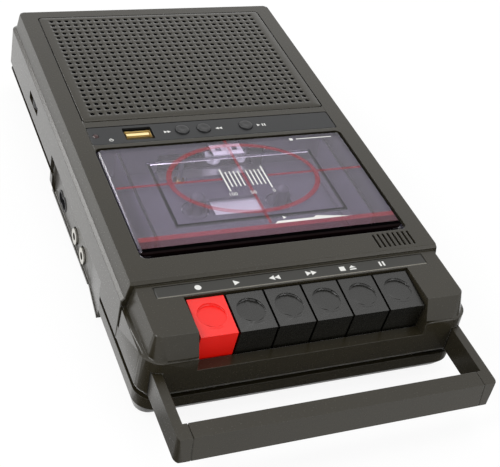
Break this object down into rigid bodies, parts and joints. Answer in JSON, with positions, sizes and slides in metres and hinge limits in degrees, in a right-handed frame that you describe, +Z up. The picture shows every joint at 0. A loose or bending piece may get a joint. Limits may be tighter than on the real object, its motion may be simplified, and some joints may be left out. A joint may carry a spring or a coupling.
{
  "type": "cassette recorder",
  "caption": "Flat shoebox cassette recorder with a perforated speaker panel, a smoked lift-up door, piano keys with one in red and a pull-out carrying handle.",
  "frame": {"origin": "middle of the footprint at table level, with the handle pulled out", "axes": "+Z up out of the deck, +Y towards the speaker end, +X to the user's right at the keys"},
  "size_m": [0.15, 0.284, 0.048],
  "materials": {
    "case_plastic": "fine-textured moulded ABS, warm dark grey",
    "key_plastic": "satin moulded ABS, near black",
    "red_plastic": "moulded ABS, bright red",
    "black_plastic": "moulded ABS, black",
    "panel_plastic": "smooth printed plastic, blue-grey",
    "smoked_clear": "smoked clear acrylic",
    "lamp_red": "tinted lamp body",
    "steel": "pressed and plated steel",
    "white_nylon": "moulded nylon",
    "cast_zinc": "turned cast metal",
    "brass": "turned or gilt brass",
    "rubber": "matt black rubber",
    "speaker_cloth": "thin black cloth and pulp",
    "ferrite": "sintered ferrite",
    "circuit_board": "solder-masked board"
  },
  "bodies": {
    "case": {"top_case": "case_plastic", "bottom_case": "case_plastic", "speaker_grille": "case_plastic", "dust_cloth": "speaker_cloth", "speaker_basket": "steel", "speaker_cone": "speaker_cloth", "speaker_magnet": "ferrite", "control_panel": "panel_plastic", "usb_board": "circuit_board", "usb_socket": "brass", "power_light": "lamp_red", "label_strip": "panel_plastic", "cassette_well": "black_plastic", "chassis_plate": "steel", "door_latch": "steel", "door_pins": "steel", "key_shaft": "steel", "key_spring_comb": "steel", "capstan_bush": "brass", "flywheel_bracket": "steel", "motor": "steel", "main_belt": "rubber", "takeup_belt": "rubber", "main_board": "circuit_board", "audio_jacks": "steel", "mains_inlet": "black_plastic", "transformer": "steel", "volume_control": "black_plastic", "microphone": "black_plastic", "battery_contacts": "steel", "feet": "rubber", "case_screws": "steel", "transport_screws": "steel"},
    "handle": {"handle_left_arm": "case_plastic", "handle_right_arm": "case_plastic", "handle_grip": "case_plastic"},
    "door": {"door_window": "smoked_clear", "guide_rails": "black_plastic", "door_catch": "steel"},
    "record_key": {"record_key": "red_plastic"},
    "play_key": {"play_key": "key_plastic"},
    "rewind_key": {"rewind_key": "key_plastic"},
    "forward_key": {"forward_key": "key_plastic"},
    "stop_key": {"stop_key": "key_plastic"},
    "pause_key": {"pause_key": "key_plastic"},
    "head_carriage": {"head_plate": "steel", "tape_heads": "steel"},
    "pinch_roller": {"pinch_roller": "rubber"},
    "flywheel": {"flywheel": "cast_zinc"},
    "motor_pulley": {"motor_pulley": "brass"},
    "supply_spindle": {"supply_spindle": "white_nylon"},
    "takeup_spindle": {"takeup_spindle": "white_nylon"},
    "forward_button": {"forward_button": "key_plastic"},
    "rewind_button": {"rewind_button": "key_plastic"},
    "play_button": {"play_button": "key_plastic"},
    "volume_wheel": {"volume_wheel": "key_plastic"},
    "battery_cover": {"battery_cover": "case_plastic"}
  },
  "joints": [
    {"name": "handle_slide", "type": "slide", "parent": "case", "child": "handle", "axis": [0, -1, 0], "range_m": [-0.0245, 0]},
    {"name": "door_hinge", "type": "hinge", "parent": "case", "child": "door", "pos_m": [0, -0.055, 0.0424], "axis": [1, 0, 0], "range_deg": [0, 42]},
    {"name": "record_key_tip", "type": "hinge", "parent": "case", "child": "record_key", "pos_m": [0, -0.0699, 0.0315], "axis": [1, 0, 0], "range_deg": [0, 8], "stiffness_Nm_per_rad": 0.3, "springref_deg": -5.73, "deforming": ["key_spring_comb"]},
    {"name": "play_key_tip", "type": "hinge", "parent": "case", "child": "play_key", "pos_m": [0, -0.0699, 0.0315], "axis": [1, 0, 0], "range_deg": [0, 8], "deforming": ["key_spring_comb"]},
    {"name": "rewind_key_tip", "type": "hinge", "parent": "case", "child": "rewind_key", "pos_m": [0, -0.0699, 0.0315], "axis": [1, 0, 0], "range_deg": [0, 8], "stiffness_Nm_per_rad": 0.3, "springref_deg": -5.73, "deforming": ["key_spring_comb"]},
    {"name": "forward_key_tip", "type": "hinge", "parent": "case", "child": "forward_key", "pos_m": [0, -0.0699, 0.0315], "axis": [1, 0, 0], "range_deg": [0, 8], "stiffness_Nm_per_rad": 0.3, "springref_deg": -5.73, "deforming": ["key_spring_comb"]},
    {"name": "stop_key_tip", "type": "hinge", "parent": "case", "child": "stop_key", "pos_m": [0, -0.0699, 0.0315], "axis": [1, 0, 0], "range_deg": [0, 8], "stiffness_Nm_per_rad": 0.3, "springref_deg": -5.73, "deforming": ["key_spring_comb"]},
    {"name": "pause_key_tip", "type": "hinge", "parent": "case", "child": "pause_key", "pos_m": [0, -0.0699, 0.0315], "axis": [1, 0, 0], "range_deg": [0, 8], "stiffness_Nm_per_rad": 0.3, "springref_deg": -5.73, "deforming": ["key_spring_comb"]},
    {"name": "head_slide", "type": "slide", "parent": "case", "child": "head_carriage", "axis": [0, -1, 0], "range_m": [0, 0.005], "stiffness_N_per_m": 100, "springref_m": -0.005},
    {"name": "pinch_spin", "type": "hinge", "parent": "head_carriage", "child": "pinch_roller", "pos_m": [-0.0215, 0.02205, 0.033], "axis": [0, 0, 1], "continuous": true},
    {"name": "flywheel_spin", "type": "hinge", "parent": "case", "child": "flywheel", "pos_m": [-0.0215, 0.0095, 0.02], "axis": [0, 0, 1], "continuous": true},
    {"name": "motor_spin", "type": "hinge", "parent": "case", "child": "motor_pulley", "pos_m": [0.041, -0.036, 0.02], "axis": [0, 0, 1], "continuous": true},
    {"name": "takeup_spin", "type": "hinge", "parent": "case", "child": "takeup_spindle", "pos_m": [-0.02125, -0.014, 0.03], "axis": [0, 0, 1], "continuous": true},
    {"name": "supply_spin", "type": "hinge", "parent": "case", "child": "supply_spindle", "pos_m": [0.02125, -0.014, 0.03], "axis": [0, 0, 1], "continuous": true},
    {"name": "forward_button_press", "type": "slide", "parent": "case", "child": "forward_button", "axis": [0, 0, -1], "range_m": [0, 0.0005], "stiffness_N_per_m": 800, "springref_m": -0.0005},
    {"name": "rewind_button_press", "type": "slide", "parent": "case", "child": "rewind_button", "axis": [0, 0, -1], "range_m": [0, 0.0005], "stiffness_N_per_m": 800, "springref_m": -0.0005},
    {"name": "play_button_press", "type": "slide", "parent": "case", "child": "play_button", "axis": [0, 0, -1], "range_m": [0, 0.0005], "stiffness_N_per_m": 800, "springref_m": -0.0005},
    {"name": "volume_turn", "type": "hinge", "parent": "case", "child": "volume_wheel", "pos_m": [-0.0639, 0.0836, 0.0269], "axis": [0, 0, 1], "range_deg": [-135, 135]},
    {"name": "battery_cover_pull", "type": "slide", "parent": "case", "child": "battery_cover", "axis": [0, 0, -1], "range_m": [0, 0.02]}
  ],
  "couplings": [
    {"joint": "play_key_tip", "follows": "head_slide", "rad_per_m": 27.9},
    {"joint": "motor_spin", "follows": "flywheel_spin", "ratio": 4.25},
    {"joint": "takeup_spin", "follows": "flywheel_spin", "ratio": 0.6}
  ]
}
